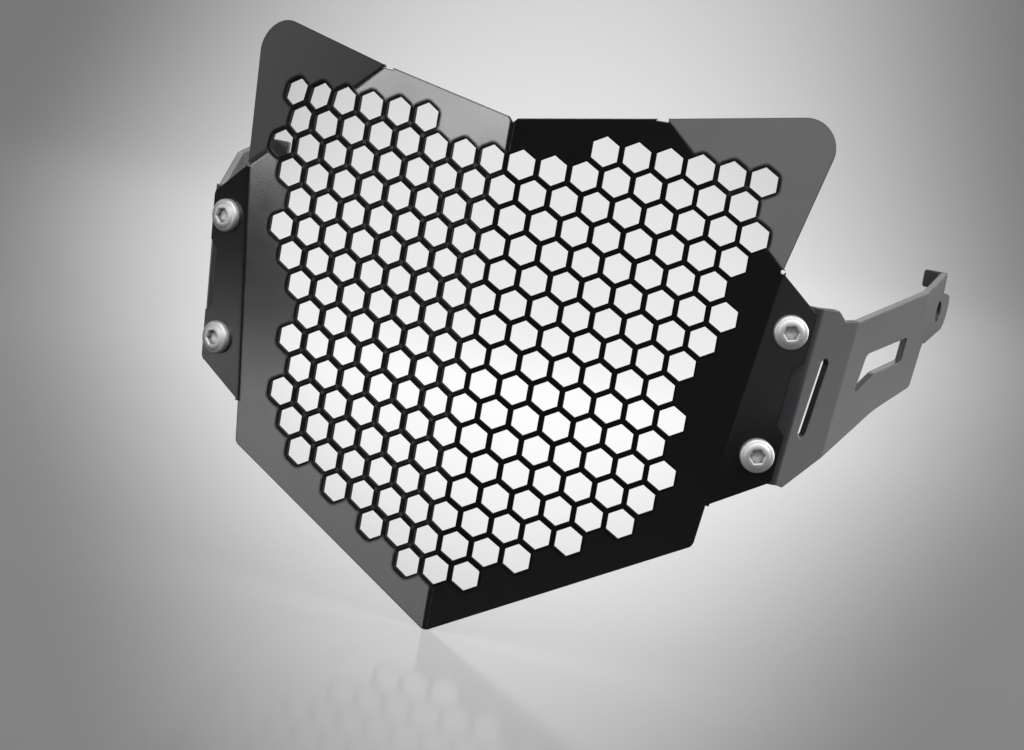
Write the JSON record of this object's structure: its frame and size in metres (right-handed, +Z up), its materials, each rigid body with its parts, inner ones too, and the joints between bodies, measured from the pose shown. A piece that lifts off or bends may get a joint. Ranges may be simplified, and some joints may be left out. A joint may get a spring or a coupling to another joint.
{
  "type": "headlight guard",
  "caption": "Folded black grille plate with hexagonal openings, bolted to two folded side brackets that end in ears with a mounting hole.",
  "frame": {"origin": "centre of the overall box, on the middle plane of the guard", "axes": "+X across the guard, +Z up along the centre crease, the grille plate faces -Y and the ears point to +Y"},
  "size_m": [0.293, 0.1436, 0.2146],
  "materials": {
    "black_coated_aluminium": "semi-gloss black powder coat",
    "screw_steel": "bright turned stainless steel",
    "zinc_steel": "satin stainless steel",
    "nylon": "natural nylon"
  },
  "bodies": {
    "root": {"guard_plate": "black_coated_aluminium", "left_bracket": "black_coated_aluminium", "left_lower_lock_nut": "zinc_steel", "left_lower_nylon_insert": "nylon", "left_lower_screw": "screw_steel", "left_lower_washer": "zinc_steel", "left_upper_lock_nut": "zinc_steel", "left_upper_nylon_insert": "nylon", "left_upper_screw": "screw_steel", "left_upper_washer": "zinc_steel", "right_bracket": "black_coated_aluminium", "right_lower_lock_nut": "zinc_steel", "right_lower_nylon_insert": "nylon", "right_lower_screw": "screw_steel", "right_lower_washer": "zinc_steel", "right_upper_lock_nut": "zinc_steel", "right_upper_nylon_insert": "nylon", "right_upper_screw": "screw_steel", "right_upper_washer": "zinc_steel"}
  },
  "joints": []
}
